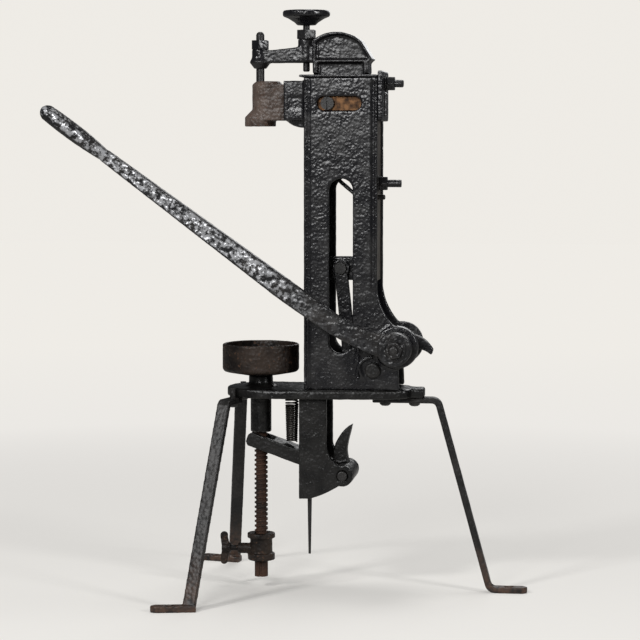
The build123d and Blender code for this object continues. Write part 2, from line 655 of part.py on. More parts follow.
LEVER_FRONT = -66.0
LEVER_BACK = -56.0
EYE_R = 19.6
EYE_FRONT = -73.0
EYE_BACK = -BOSS_OUT - 1.5
LEVER_RISE = 36.2
rise = (-cos(radians(LEVER_RISE)), sin(radians(LEVER_RISE)))
SWAN_END = (32.4, 367.7)
GRIP_LONG = 96.0
bar_long = (SWAN_END[0] - LEVER_TIP_X) / -rise[0] - GRIP_LONG


def lever_edge(along, side):
    """A point of the straight lever bar, along it from the swan neck and square to it."""
    return (SWAN_END[0] + along * rise[0] + side * rise[1], SWAN_END[1] + along * rise[1] - side * rise[0])


THICK_HALF = 12.7
THIN_HALF = 7.6
with BuildPart() as hand_lever:
    with BuildSketch(FRONT.offset(-LEVER_BACK)):
        with BuildLine():
            upper = Spline((SHAFT_X, SHAFT_Z + 17), (129, 319), (85.5, 345.5), lever_edge(0, THICK_HALF),
                           tangents=((-1, -0.1), rise))
            lower = Spline(lever_edge(0, -THICK_HALF), (72.5, 324.8), (97, 309.5), (121.5, 297.5),
                           (SHAFT_X, SHAFT_Z - 17), tangents=((-rise[0], -rise[1]), (0.9, -0.35)))
            Polyline(upper @ 1, lever_edge(bar_long, THIN_HALF), lever_edge(bar_long, -THIN_HALF), lower @ 0)
            Line(lower @ 1, upper @ 0)
        make_face()
    extrude(amount=LEVER_BACK - LEVER_FRONT)
    across(SHAFT_X, SHAFT_Z, EYE_R, EYE_FRONT, EYE_BACK)
    # the forged round grip at the far end
    grip_start = lever_edge(bar_long - 6, 0)
    grip_plane = Plane(
        origin=(BOTTLE_X + grip_start[0], (LEVER_FRONT + LEVER_BACK) / 2, grip_start[1]),
        x_dir=(rise[0], 0, rise[1]),
        z_dir=(0, -1, 0),
    )
    with BuildSketch(grip_plane) as grip_half:
        with BuildLine():
            grip_top = ThreePointArc((0, 6.5), (50, 10.4), (GRIP_LONG - 4, 9.5))
            Polyline(grip_top @ 1, (GRIP_LONG + 1, 7), (GRIP_LONG + 4, 2.5), (GRIP_LONG + 4, 0), (0, 0), grip_top @ 0)
        make_face()
    revolve(axis=Axis(grip_plane.origin, grip_plane.x_dir))
    across(SHAFT_X, SHAFT_Z, SHAFT_R, EYE_FRONT, EYE_BACK, mode=Mode.SUBTRACT)
keep(hand_lever, "hand_lever")

NUT_R = 5.5
SHAFT_END = 56.0
with BuildPart() as lever_shaft:
    across(SHAFT_X, SHAFT_Z, SHAFT_R, EYE_FRONT, SHAFT_END)
    across(SHAFT_X, SHAFT_Z, NUT_R, EYE_FRONT - 13, EYE_FRONT)
    fillet(lever_shaft.faces().sort_by(Axis.Y)[0].edges(), 3)
    chamfer(lever_shaft.faces().sort_by(Axis.Y)[-1].edges(), 1)
keep(lever_shaft, "lever_shaft")

with BuildPart() as shaft_washer:
    across(SHAFT_X, SHAFT_Z, 14, EYE_FRONT - 1.5, EYE_FRONT)
    across(SHAFT_X, SHAFT_Z, NUT_R, EYE_FRONT - 1.5, EYE_FRONT, mode=Mode.SUBTRACT)
keep(shaft_washer, "shaft_washer")

with BuildPart() as shaft_nut:
    with BuildSketch(FRONT.offset(-EYE_FRONT + 1.5)):
        with Locations((SHAFT_X, SHAFT_Z)):
            RegularPolygon(9.2, 6, major_radius=False, rotation=12)
            Circle(NUT_R, mode=Mode.SUBTRACT)
    extrude(amount=8)
    chamfer(shaft_nut.faces().sort_by(Axis.Y)[0].outer_wire().edges(), 1)
keep(shaft_nut, "shaft_nut")

with BuildPart() as shaft_collar:
    across(SHAFT_X, SHAFT_Z, 15, BOSS_OUT + 0.5, SHAFT_END - 2)
    chamfer(shaft_collar.edges(), 1)
    across(SHAFT_X, SHAFT_Z, SHAFT_R, BOSS_OUT, SHAFT_END, mode=Mode.SUBTRACT)
keep(shaft_collar, "shaft_collar")


def crank_pin_at(turn):
    """Where the crank's pin stands when the lever has turned through so many degrees."""
    angle = radians(CRANK_REST - turn)
    return (SHAFT_X + CRANK_R * cos(angle), SHAFT_Z + CRANK_R * sin(angle))


pin_x, pin_z = crank_pin_at(0)
CRANK_BACK = CRANK_FRONT + CRANK_THICK
lean = atan2(pin_z - SHAFT_Z, pin_x - SHAFT_X)
side = (-sin(lean), cos(lean))
with BuildPart() as crank:
    outline_xz(
        ((SHAFT_X + 14 * side[0], SHAFT_Z + 14 * side[1]), (pin_x + 10 * side[0], pin_z + 10 * side[1]),
         (pin_x - 10 * side[0], pin_z - 10 * side[1]), (SHAFT_X - 14 * side[0], SHAFT_Z - 14 * side[1])),
        CRANK_FRONT, CRANK_BACK,
    )
    across(pin_x, pin_z, 11, CRANK_FRONT, CRANK_BACK)
    across(SHAFT_X, SHAFT_Z, 15, -CHEEK_IN + SLIDE, CRANK_BACK + 1)
    across(SHAFT_X, SHAFT_Z, SHAFT_R, -CHEEK_IN, CRANK_BACK + 1, mode=Mode.SUBTRACT)
    across(pin_x, pin_z, CRANK_PIN_R, CRANK_FRONT, CRANK_BACK, mode=Mode.SUBTRACT)
keep(crank, "crank")

LINK_BACK = CRANK_FRONT - LOOSE
LINK_FRONT = LINK_BACK - LINK_THICK
with BuildPart() as crank_pin:
    across(pin_x, pin_z, CRANK_PIN_R, LINK_FRONT - 1, CRANK_BACK)
    across(pin_x, pin_z, CRANK_PIN_R + 2, CRANK_BACK, CRANK_BACK + 2)
keep(crank_pin, "crank_pin")

CLAW_FRONT = CRANK_BACK + 1
with BuildPart() as trip_claw:
    with BuildSketch(FRONT.offset(-CLAW_FRONT - 2)):
        with BuildLine():
            Spline((SHAFT_X + 2, SHAFT_Z + 13), (SHAFT_X + 25, SHAFT_Z + 8), (SHAFT_X + 39, SHAFT_Z - 6.5))
            Line((SHAFT_X + 39, SHAFT_Z - 6.5), (SHAFT_X + 37, SHAFT_Z - 13))
            Spline((SHAFT_X + 37, SHAFT_Z - 13), (SHAFT_X + 25, SHAFT_Z - 6.5), (SHAFT_X + 2, SHAFT_Z - 13))
            Line((SHAFT_X + 2, SHAFT_Z - 13), (SHAFT_X + 2, SHAFT_Z + 13))
        make_face()
    extrude(amount=-13)
    across(SHAFT_X, SHAFT_Z, 14, CLAW_FRONT, CHEEK_IN - SLIDE)
    across(SHAFT_X, SHAFT_Z, SHAFT_R, CLAW_FRONT, CHEEK_IN, mode=Mode.SUBTRACT)
keep(trip_claw, "trip_claw")

# ---------------------------------------------------------------- connecting link
# Its lower eye is opened into a window, because the real linkage is a closed loop: the crank's pin
# wanders in it while ram and link follow the lever at constant ratios.


def pin_in_link(turn):
    """The crank's pin as the link sees it, from its place at rest."""
    share = turn / LEVER_TURN
    swing = radians(LINK_TURN * share)
    x, z = crank_pin_at(turn)
    dx = x - RAM_PIN_X
    dz = z - (RAM_PIN_Z + RAM_STROKE * share)
    return (
        dx * cos(swing) + dz * sin(swing) - (pin_x - RAM_PIN_X),
        -dx * sin(swing) + dz * cos(swing) - (pin_z - RAM_PIN_Z),
    )


wander = [pin_in_link(LEVER_TURN * step / 20) for step in range(21)]
wander_x = (min(p[0] for p in wander), max(p[0] for p in wander))
wander_z = (min(p[1] for p in wander), max(p[1] for p in wander))
play = CRANK_PIN_R + SLIDE * 2
window_wide = wander_x[1] - wander_x[0] + 2 * play
window_high = wander_z[1] - wander_z[0] + 2 * play
window_at = (pin_x + sum(wander_x) / 2, pin_z + sum(wander_z) / 2)
link_lean = atan2(pin_x - RAM_PIN_X, RAM_PIN_Z - pin_z)
link_side = (cos(link_lean), sin(link_lean))

with BuildPart() as link:
    outline_xz(
        ((RAM_PIN_X - 7.5 * link_side[0], RAM_PIN_Z - 7.5 * link_side[1]),
         (RAM_PIN_X + 7.5 * link_side[0], RAM_PIN_Z + 7.5 * link_side[1]),
         (pin_x + 8.5 * link_side[0], pin_z + 8.5 * link_side[1]),
         (pin_x - 8.5 * link_side[0], pin_z - 8.5 * link_side[1])),
        LINK_FRONT, LINK_BACK,
    )
    across(RAM_PIN_X, RAM_PIN_Z, 10.5, LINK_FRONT, LINK_BACK)
    for size, mode in ((LINK_WALL, Mode.ADD), (0, Mode.SUBTRACT)):
        with BuildSketch(FRONT.offset(-LINK_BACK)):
            with Locations(window_at):
                RectangleRounded(window_wide + 2 * size, window_high + 2 * size, 4 + size)
        extrude(amount=LINK_THICK, mode=mode)
    across(RAM_PIN_X, RAM_PIN_Z, RAM_PIN_R + RUN, LINK_FRONT, LINK_BACK, mode=Mode.SUBTRACT)
keep(link, "connecting_link")

# ---------------------------------------------------------------- ram

RIM = 3.5
PLUNGER_TOP = COLUMN_TOP + 54.5
BOSS_TOP = COLUMN_TOP + 33.5
STOP_BOSS_TOP = COLUMN_TOP + 45.5
arch = (
    (RAM_LEFT + 0.5, COLUMN_TOP + 44.5), (94.3, COLUMN_TOP + 53.5), (123, COLUMN_TOP + 42.1),
    (RAM_RIGHT + 4.5, COLUMN_TOP + 21.1),
)


def arch_face(depth, inset):
    """The arched top of the ram as a face at one depth, drawn in by inset."""
    with BuildSketch(FRONT.offset(-depth)) as face:
        with BuildLine():
            crown = ThreePointArc((arch[0][0] + inset, arch[0][1] - inset), (arch[1][0] + inset, arch[1][1] - inset),
                                  (arch[2][0] - inset * 0.7, arch[2][1] - inset * 0.7))
            flank = Line(crown @ 1, (arch[3][0] - inset, arch[3][1]))
            Polyline(flank @ 1, (RAM_RIGHT - inset * 0.6, NECK_HIGH + inset), (RAM_LEFT + inset, NECK_HIGH + inset),
                     crown @ 0)
        make_face()
    return face.sketch


with BuildPart() as ram:
    block(RAM_LEFT, RAM_RIGHT, -RAM_HALF, RAM_HALF, RAM_LOW, NECK_HIGH)
    block(RAM_LEFT + RAIL, RAM_RIGHT - RAIL, -RAM_HALF, RAM_HALF, WINDOW_LOW, WINDOW_HIGH, mode=Mode.SUBTRACT)
    # diagonal brace across the top of the window
    brace_ends = (RAM_LEFT + RAIL - 1, RAM_RIGHT - RAIL + 1)
    outline_xz(
        ((brace_ends[0], BRACE_HIGH - BRACE_WIDE), (brace_ends[0], BRACE_HIGH),
         (brace_ends[1], BRACE_HIGH - BRACE_DROP), (brace_ends[1], BRACE_HIGH - BRACE_DROP - BRACE_WIDE)),
        -4, 4,
    )
    # the crosshead is thinner, to leave room for the link
    block(RAM_LEFT + RAIL, RAM_RIGHT - RAIL, -RAM_HALF, CRANK_FRONT, RAM_LOW, WINDOW_LOW, mode=Mode.SUBTRACT)
    # H-section neck and rimmed arch
    for flange_x in (RAM_LEFT, RAM_RIGHT - 6):
        block(flange_x, flange_x + 6, -NECK_HALF, NECK_HALF, NECK_LOW, NECK_HIGH)
    extrude(arch_face(-NECK_HALF, 0), amount=-2 * NECK_HALF)
    for recess in (-NECK_HALF, RAM_HALF):
        extrude(arch_face(recess, RIM), amount=RAM_HALF - NECK_HALF, mode=Mode.SUBTRACT)
    # arm to the plunger, with its two upright bosses
    arm_end = RAM_LEFT + 2
    outline_xz(
        ((0, NECK_HIGH), (0, COLUMN_TOP + 32), (14, COLUMN_TOP + 32.7), (STOP_X, COLUMN_TOP + 37.3),
        (arm_end, COLUMN_TOP + 37.3), (arm_end, NECK_HIGH)),
        -ARM_HALF, ARM_HALF,
    )
    turned(STOP_X, (
        (0, COLUMN_TOP + 18.1), (10, COLUMN_TOP + 18.1), (10, STOP_BOSS_TOP), (0, STOP_BOSS_TOP),
    ))
    turned(0, (
        (0, COLUMN_TOP + 10.5), (7, COLUMN_TOP + 10.5), (13, COLUMN_TOP + 18.5), (10, COLUMN_TOP + 23.5),
        (10, BOSS_TOP), (0, BOSS_TOP),
    ))
    turned(STOP_X, (
        (0, COLUMN_TOP + 8.5), (STOP_R + RUN, COLUMN_TOP + 8.5), (STOP_R + RUN, COLUMN_TOP + 58.5),
        (0, COLUMN_TOP + 58.5),
    ), mode=Mode.SUBTRACT)
    turned(0, (
        (0, COLUMN_TOP + 8.5), (PLUNGER_R, COLUMN_TOP + 8.5), (PLUNGER_R, COLUMN_TOP + 58.5),
        (0, COLUMN_TOP + 58.5),
    ), mode=Mode.SUBTRACT)
    across(RAM_PIN_X, RAM_PIN_Z, RAM_PIN_R, -RAM_HALF, RAM_HALF, mode=Mode.SUBTRACT)
    # inclined cam grooves of the compression slide, one in each face
    cam_lean = atan2(JAW_STROKE, RAM_STROKE)
    cam_long = hypot(JAW_STROKE, RAM_STROKE)
    cam_mid = (SCREW_X + JAW_STROKE / 2, SLIDE_Z - RAM_STROKE / 2)
    for face_y in (RAM_HALF, -RAM_HALF + GROOVE_DEEP):
        with BuildSketch(FRONT.offset(face_y)):
            with Locations(cam_mid):
                SlotCenterToCenter(cam_long + 1, 2 * (ROLLER_R + SLIDE), rotation=90 + degrees(cam_lean))
        extrude(amount=-GROOVE_DEEP, mode=Mode.SUBTRACT)
keep(ram, "ram")

with BuildPart() as crosshead_pin:
    across(RAM_PIN_X, RAM_PIN_Z, RAM_PIN_R, LINK_FRONT, RAM_HALF)
    across(RAM_PIN_X, RAM_PIN_Z, RAM_PIN_R + 2.5, LINK_FRONT - 3, LINK_FRONT - 0.2)
    across(RAM_PIN_X, RAM_PIN_Z, RAM_PIN_R, LINK_FRONT - 0.5, LINK_FRONT)
    fillet(crosshead_pin.faces().sort_by(Axis.Y)[0].edges(), 1)
keep(crosshead_pin, "crosshead_pin")

with BuildPart() as plunger:
    turned(0, (
        (0, COLUMN_TOP - 55.5), (PLUNGER_R, COLUMN_TOP - 55.5), (PLUNGER_R, PLUNGER_TOP - 3.5),
        (PLUNGER_R - 1.2, PLUNGER_TOP - 1.3),
        (PLUNGER_R - 3, PLUNGER_TOP - 0.2), (0, PLUNGER_TOP),
    ))
keep(plunger, "plunger")

with BuildPart() as plunger_locknut:
    hex_upright(0, 19, BOSS_TOP, COLUMN_TOP + 44.5, PLUNGER_R)
keep(plunger_locknut, "plunger_locknut")

with BuildPart() as stop_locknut:
    hex_upright(STOP_X, 21, STOP_BOSS_TOP, COLUMN_TOP + 56.5, STOP_R + RUN)
keep(stop_locknut, "stop_locknut")

WHEEL_LOW = COLUMN_TOP + 61.9
WHEEL_TOP = COLUMN_TOP + 79.3
with BuildPart() as stop_screw:
    turned(STOP_X, (
        (0, COLUMN_TOP + 7.3), (3, COLUMN_TOP + 7.3), (STOP_R, COLUMN_TOP + 8.5), (STOP_R, WHEEL_TOP - 2),
        (0, WHEEL_TOP - 2),
    ))
keep(stop_screw, "stop_screw")

with BuildPart() as handwheel:
    turned(STOP_X, (
        (0, WHEEL_LOW), (11, WHEEL_LOW), (14, COLUMN_TOP + 65), (21, COLUMN_TOP + 69.5),
        (27, COLUMN_TOP + 72), (28, COLUMN_TOP + 73.5), (28, COLUMN_TOP + 77.3),
        (26.5, WHEEL_TOP), (0, WHEEL_TOP),
    ))
    turned(STOP_X, (
        (0, COLUMN_TOP + 58.5), (STOP_R + RUN, COLUMN_TOP + 58.5), (STOP_R + RUN, WHEEL_TOP - 1.9),
        (0, WHEEL_TOP - 1.9),
    ), mode=Mode.SUBTRACT)
keep(handwheel, "depth_handwheel")

# ---------------------------------------------------------------- compression slide

bar_low = SLIDE_Z - SLIDE_HIGH / 2
bar_high = SLIDE_Z + SLIDE_HIGH / 2
BAR_END = 126.0
with BuildPart() as compression_slide:
    block(YOKE_FRONT, YOKE_BACK, -BAR_OUT, BAR_OUT, bar_low, bar_high)
    block(JAW_BACK, YOKE_FRONT, -JAW_HALF, JAW_HALF, bar_low, bar_high)
    for inner, outer in ((-BAR_OUT, -BAR_IN), (BAR_IN, BAR_OUT)):
        block(YOKE_BACK, BAR_END, inner, outer, bar_low, bar_high)
keep(compression_slide, "compression_slide")

with BuildPart() as jaw_block:
    block(BORE_R + 0.5, JAW_BACK, -JAW_HALF, JAW_HALF, JAW_MID - JAW_HIGH / 2, JAW_MID + JAW_HIGH / 2)
    turned(0, (
        (0, COLUMN_TOP - 51.5), (BORE_R + 0.6, COLUMN_TOP - 51.5), (BORE_R + 0.6, COLUMN_TOP - 1.5),
        (0, COLUMN_TOP - 1.5),
    ), mode=Mode.SUBTRACT)
keep(jaw_block, "jaw_block")

with BuildPart() as cam_rollers:
    for inner, outer in ((-BAR_IN, -RAM_HALF + GROOVE_DEEP - SLIDE), (RAM_HALF - GROOVE_DEEP + SLIDE, BAR_IN)):
        across(SCREW_X, SLIDE_Z, ROLLER_R, inner, outer)
keep(cam_rollers, "cam_rollers")

with BuildPart() as slide_screws:
    for inner, outer in ((-BAR_OUT - 5, -BAR_OUT), (BAR_OUT, BAR_OUT + 5)):
        across(SCREW_X, SLIDE_Z, SLIDE_HIGH / 2 - 0.3, inner, outer)
    # the driver's slots stand upright
    for near, far in ((-BAR_OUT - 5, -BAR_OUT - 3.5), (BAR_OUT + 3.5, BAR_OUT + 5)):
        block(SCREW_X - 1, SCREW_X + 1, near, far, SLIDE_Z - 10, SLIDE_Z + 10, mode=Mode.SUBTRACT)
keep(slide_screws, "slide_screws")
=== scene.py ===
import math
import bpy
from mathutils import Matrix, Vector, noise


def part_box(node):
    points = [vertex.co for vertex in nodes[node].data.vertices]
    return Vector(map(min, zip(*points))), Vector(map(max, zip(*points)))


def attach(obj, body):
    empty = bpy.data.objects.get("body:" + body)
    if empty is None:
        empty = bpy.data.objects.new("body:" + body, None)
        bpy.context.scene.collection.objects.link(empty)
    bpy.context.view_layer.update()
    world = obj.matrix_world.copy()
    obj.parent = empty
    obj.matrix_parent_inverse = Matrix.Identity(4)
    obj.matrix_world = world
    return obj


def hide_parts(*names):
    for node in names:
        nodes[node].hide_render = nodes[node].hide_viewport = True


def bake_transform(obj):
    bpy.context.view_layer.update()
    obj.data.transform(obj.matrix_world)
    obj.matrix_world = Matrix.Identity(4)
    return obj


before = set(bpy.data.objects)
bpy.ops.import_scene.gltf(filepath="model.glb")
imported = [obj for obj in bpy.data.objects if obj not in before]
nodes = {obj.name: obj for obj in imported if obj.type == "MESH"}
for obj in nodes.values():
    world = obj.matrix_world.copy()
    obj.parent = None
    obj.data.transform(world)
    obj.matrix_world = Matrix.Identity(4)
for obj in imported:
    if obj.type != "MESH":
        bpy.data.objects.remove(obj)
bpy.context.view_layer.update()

# ---- Studio
# A pale floor that fades into the backdrop, soft lights on both sides, above, behind and beside the
# camera, and a camera that stands well back, a little to the lever shaft's side of the machine.


def add_node(tree, kind, **values):
    """Adds a shader node; values fill its inputs by name, with _ for a space."""
    made = tree.nodes.new(kind)
    for key, value in values.items():
        made.inputs[key.replace("_", " ")].default_value = value
    return made


def ramp(tree, source, low, high):
    """Stretches a value so that low becomes 0 and high becomes 1, clamped."""
    stretch = tree.nodes.new("ShaderNodeMapRange")
    tree.links.new(source, stretch.inputs["Value"])
    stretch.inputs["From Min"].default_value = low
    stretch.inputs["From Max"].default_value = high
    return stretch.outputs["Result"]


def blend_colours(tree, factor, first, second):
    """Mixes two colours, each a socket or an RGBA value."""
    mixer = tree.nodes.new("ShaderNodeMix")
    mixer.data_type = "RGBA"
    tree.links.new(factor, mixer.inputs["Factor"])
    for socket, value in ((mixer.inputs[6], first), (mixer.inputs[7], second)):
        if isinstance(value, bpy.types.NodeSocket):
            tree.links.new(value, socket)
        else:
            socket.default_value = value
    return mixer.outputs[2]


backdrop_tone = (0.86, 0.835, 0.79, 1)
cloth_tone = (0.86, 0.84, 0.8, 1)
floor_glow = (0.82, 0.8, 0.77, 1)
floor_half = 9.0
floor_mesh = bpy.data.meshes.new("floor")
corners = [(sx * floor_half, sy * floor_half, 0) for sx, sy in ((-1, -1), (1, -1), (1, 1), (-1, 1))]
floor_mesh.from_pydata(corners, [], [(0, 1, 2, 3)])
floor = bpy.data.objects.new("floor", floor_mesh)
bpy.context.scene.collection.objects.link(floor)
paper = bpy.data.materials.new("studio_paper")
paper.use_nodes = True
paper_tree = paper.node_tree
paper_bsdf = paper_tree.nodes["Principled BSDF"]
paper_bsdf.inputs["Roughness"].default_value = 0.9
paper_bsdf.inputs["Specular IOR Level"].default_value = 0.1
on_floor = paper_tree.nodes.new("ShaderNodeTexCoord").outputs["Object"]
reach = paper_tree.nodes.new("ShaderNodeVectorMath")
reach.operation = "LENGTH"
paper_tree.links.new(on_floor, reach.inputs[0])
away = ramp(paper_tree, reach.outputs["Value"], -0.3, 1.6)
floor_body = blend_colours(paper_tree, away, cloth_tone, (0, 0, 0, 1))
paper_tree.links.new(floor_body, paper_bsdf.inputs["Base Color"])
far_off = ramp(paper_tree, reach.outputs["Value"], 1.2, 3.2)
far_glow = blend_colours(paper_tree, far_off, floor_glow, backdrop_tone)
paper_tree.links.new(far_glow, paper_bsdf.inputs["Emission Color"])
# the far floor glows fully only to the eye, so that it doesn't wash out the black paint
seen = paper_tree.nodes.new("ShaderNodeLightPath").outputs["Is Camera Ray"]
eased = ramp(paper_tree, seen, -0.25, 1.0)
glow = paper_tree.nodes.new("ShaderNodeMath")
glow.operation = "MULTIPLY"
paper_tree.links.new(away, glow.inputs[0])
paper_tree.links.new(eased, glow.inputs[1])
paper_tree.links.new(glow.outputs["Value"], paper_bsdf.inputs["Emission Strength"])
floor_mesh.materials.append(paper)

world = bpy.data.worlds.new("studio")
bpy.context.scene.world = world
world.use_nodes = True
sky = world.node_tree
sky.nodes["Background"].inputs["Color"].default_value = backdrop_tone
sky.nodes["Background"].inputs["Strength"].default_value = 1.0
ambient = add_node(sky, "ShaderNodeBackground", Color=(0.95, 0.97, 1.0, 1), Strength=0.09)
ray = sky.nodes.new("ShaderNodeLightPath")
pick = sky.nodes.new("ShaderNodeMixShader")
sky.links.new(ray.outputs["Is Camera Ray"], pick.inputs["Fac"])
sky.links.new(ambient.outputs["Background"], pick.inputs[1])
sky.links.new(sky.nodes["Background"].outputs["Background"], pick.inputs[2])
sky.links.new(pick.outputs["Shader"], sky.nodes["World Output"].inputs["Surface"])
bpy.context.scene.view_settings.view_transform = "Standard"


def soft_light(name, place, aim, size, watts):
    """A square soft box at place, facing aim."""
    lamp = bpy.data.lights.new(name, "AREA")
    lamp.shape = "SQUARE"
    lamp.size = size
    lamp.energy = watts
    holder = bpy.data.objects.new(name, lamp)
    bpy.context.scene.collection.objects.link(holder)
    holder.location = place
    holder.rotation_euler = (Vector(aim) - Vector(place)).to_track_quat("-Z", "Y").to_euler()


machine_middle = (0, 0, 0.38)
soft_light("key_box", (-1.3, -1.7, 1.7), machine_middle, size=0.35, watts=26)
soft_light("fill_box", (1.7, -1.1, 1.0), machine_middle, size=0.35, watts=16)
soft_light("top_box", (0.1, 0.2, 2.2), machine_middle, size=0.6, watts=13)
soft_light("glint_box", (-0.5, -2.9, 1.35), machine_middle, size=0.8, watts=34)
soft_light("back_box", (0.4, 1.9, 1.3), machine_middle, size=1.0, watts=8)

look_down = math.radians(4.57)
look_left = math.radians(7.42)
camera_data = bpy.data.cameras.new("camera")
camera_data.sensor_width = 36
camera_data.lens = 127.8
camera = bpy.data.objects.new("camera", camera_data)
bpy.context.scene.collection.objects.link(camera)
camera.location = (0.387, -2.682, 0.540)
camera.rotation_euler = (math.radians(90) - look_down, 0, look_left)
bpy.context.scene.camera = camera

# ---- Base plate
# A flat cast-iron plate with a rounded rim, a hub for the lifting rod at its wide end and a tongue for
# the single leg at the other. Like all the castings it wears thick, lumpy gloss black paint, here a
# darker copy of it as painted shade.


def recast(node, name, voxel, rounding, swell, swell_size):
    """A cast skin over a CAD node: its arrises rounded and its faces slightly uneven, in metres."""
    source = nodes[node]
    skin = bpy.data.objects.new(name, source.data.copy())
    bpy.context.scene.collection.objects.link(skin)
    grid = skin.modifiers.new("grid", "REMESH")
    grid.mode = "VOXEL"
    grid.voxel_size = voxel
    soften = skin.modifiers.new("soften", "SMOOTH")
    soften.factor = 0.5
    soften.iterations = rounding
    ready = skin.evaluated_get(bpy.context.evaluated_depsgraph_get())
    mesh = bpy.data.meshes.new_from_object(ready)
    skin.modifiers.clear()
    skin.data = mesh
    mesh.name = name
    normals = [vertex.normal.copy() for vertex in mesh.vertices]
    for vertex, normal in zip(mesh.vertices, normals):
        uneven = noise.noise(vertex.co / swell_size) + 0.5 * noise.noise(vertex.co * 2.7 / swell_size)
        vertex.co -= normal * swell * min(max(0.5 + uneven, 0), 1)
    for face in mesh.polygons:
        face.use_smooth = True
    mesh.materials.clear()
    return skin


def calculate(tree, operation, first, second):
    """A Math node's result from two values, each a socket or a number."""
    maths = tree.nodes.new("ShaderNodeMath")
    maths.operation = operation
    for slot_number, value in enumerate((first, second)):
        if isinstance(value, bpy.types.NodeSocket):
            tree.links.new(value, maths.inputs[slot_number])
        else:
            maths.inputs[slot_number].default_value = value
    return maths.outputs["Value"]


def noise_at(tree, place, scale, detail=3.0, rough=0.55):
    """A noise texture's value at a place, with scale in ripples per metre."""
    texture = add_node(tree, "ShaderNodeTexNoise", Scale=scale, Detail=detail, Roughness=rough)
    tree.links.new(place, texture.inputs["Vector"])
    return texture.outputs["Fac"]


def new_group(name, inputs, outputs):
    """An empty shader node group with named value inputs and outputs."""
    group = bpy.data.node_groups.new(name, "ShaderNodeTree")
    for label, start in inputs:
        socket = group.interface.new_socket(name=label, in_out="INPUT", socket_type="NodeSocketFloat")
        socket.default_value = start
    for label in outputs:
        group.interface.new_socket(name=label, in_out="OUTPUT", socket_type="NodeSocketFloat")
    return group, group.nodes.new("NodeGroupInput"), group.nodes.new("NodeGroupOutput")


# rough casting: the lumps and pebbles of sand-cast iron as a height, with masks for patches and flecks
casting_skin, skin_in, skin_out = new_group(
    "casting_skin",
    (("Lump", 90.0), ("Grain", 420.0), ("Grain Share", 0.5)),
    ("Height", "Patch", "Fleck"),
)
where = casting_skin.nodes.new("ShaderNodeTexCoord").outputs["Object"]


def scaled_noise(tree, place, scale_socket, detail):
    """Noise whose ripples per metre come from a group input."""
    texture = tree.nodes.new("ShaderNodeTexNoise")
    texture.inputs["Detail"].default_value = detail
    tree.links.new(place, texture.inputs["Vector"])
    tree.links.new(scale_socket, texture.inputs["Scale"])
    return texture.outputs["Fac"]


lumps = scaled_noise(casting_skin, where, skin_in.outputs["Lump"], 2.0)
grains = scaled_noise(casting_skin, where, skin_in.outputs["Grain"], 3.0)
pebbles = casting_skin.nodes.new("ShaderNodeTexVoronoi")
pebbles.feature = "SMOOTH_F1"
pebbles.inputs["Smoothness"].default_value = 0.8
casting_skin.links.new(where, pebbles.inputs["Vector"])
casting_skin.links.new(skin_in.outputs["Grain"], pebbles.inputs["Scale"])
grain_share = skin_in.outputs["Grain Share"]
pebble_part = calculate(casting_skin, "MULTIPLY", pebbles.outputs["Distance"], grain_share)
casting_skin.links.new(calculate(casting_skin, "SUBTRACT", lumps, pebble_part), skin_out.inputs["Height"])
patches = noise_at(casting_skin, where, 34.0, 5.0)
casting_skin.links.new(ramp(casting_skin, patches, 0.42, 0.62), skin_out.inputs["Patch"])
casting_skin.links.new(ramp(casting_skin, grains, 0.6, 0.68), skin_out.inputs["Fleck"])

# edge wear and painted highlight: lighter where an arris is rubbed, and also a painted highlight standing
# in for the gloss glint along each arris, found from a rounded normal
edge_wear_and_highlight, wear_and_highlight_in, wear_and_highlight_out = new_group("edge_wear_and_highlight", (("Low", 0.02), ("High", 0.2)), ("Edge",))
rounded = edge_wear_and_highlight.nodes.new("ShaderNodeBevel")
rounded.samples = 6
rounded.inputs["Radius"].default_value = 0.0012
facing = edge_wear_and_highlight.nodes.new("ShaderNodeNewGeometry")
agree = edge_wear_and_highlight.nodes.new("ShaderNodeVectorMath")
agree.operation = "DOT_PRODUCT"
edge_wear_and_highlight.links.new(rounded.outputs["Normal"], agree.inputs[0])
edge_wear_and_highlight.links.new(facing.outputs["Normal"], agree.inputs[1])
turn_away = calculate(edge_wear_and_highlight, "SUBTRACT", 1.0, agree.outputs["Value"])
broken = noise_at(edge_wear_and_highlight, edge_wear_and_highlight.nodes.new("ShaderNodeTexCoord").outputs["Object"], 260.0)
uneven_edge = calculate(edge_wear_and_highlight, "MULTIPLY", turn_away, calculate(edge_wear_and_highlight, "MULTIPLY", broken, 2.0))
edge_range = edge_wear_and_highlight.nodes.new("ShaderNodeMapRange")
edge_wear_and_highlight.links.new(uneven_edge, edge_range.inputs["Value"])
edge_wear_and_highlight.links.new(wear_and_highlight_in.outputs["Low"], edge_range.inputs["From Min"])
edge_wear_and_highlight.links.new(wear_and_highlight_in.outputs["High"], edge_range.inputs["From Max"])
edge_wear_and_highlight.links.new(edge_range.outputs["Result"], wear_and_highlight_out.inputs["Edge"])


def place_group(tree, group, **values):
    """Puts a node group into a material, with its inputs set by name."""
    placed = tree.nodes.new("ShaderNodeGroup")
    placed.node_tree = group
    for key, value in values.items():
        placed.inputs[key.replace("_", " ")].default_value = value
    return placed


def finish_of(name, metallic=0.0, specular=0.5):
    """A new material; returns it with its tree and Principled node."""
    material = bpy.data.materials.new(name)
    material.use_nodes = True
    shader = material.node_tree.nodes["Principled BSDF"]
    shader.inputs["Metallic"].default_value = metallic
    shader.inputs["Specular IOR Level"].default_value = specular
    return material, material.node_tree, shader


def bump(tree, shader, height, depth):
    """Raises the surface by a height value, with depth in metres."""
    raised = add_node(tree, "ShaderNodeBump", Strength=1.0, Distance=depth)
    tree.links.new(height, raised.inputs["Height"])
    tree.links.new(raised.outputs["Normal"], shader.inputs["Normal"])


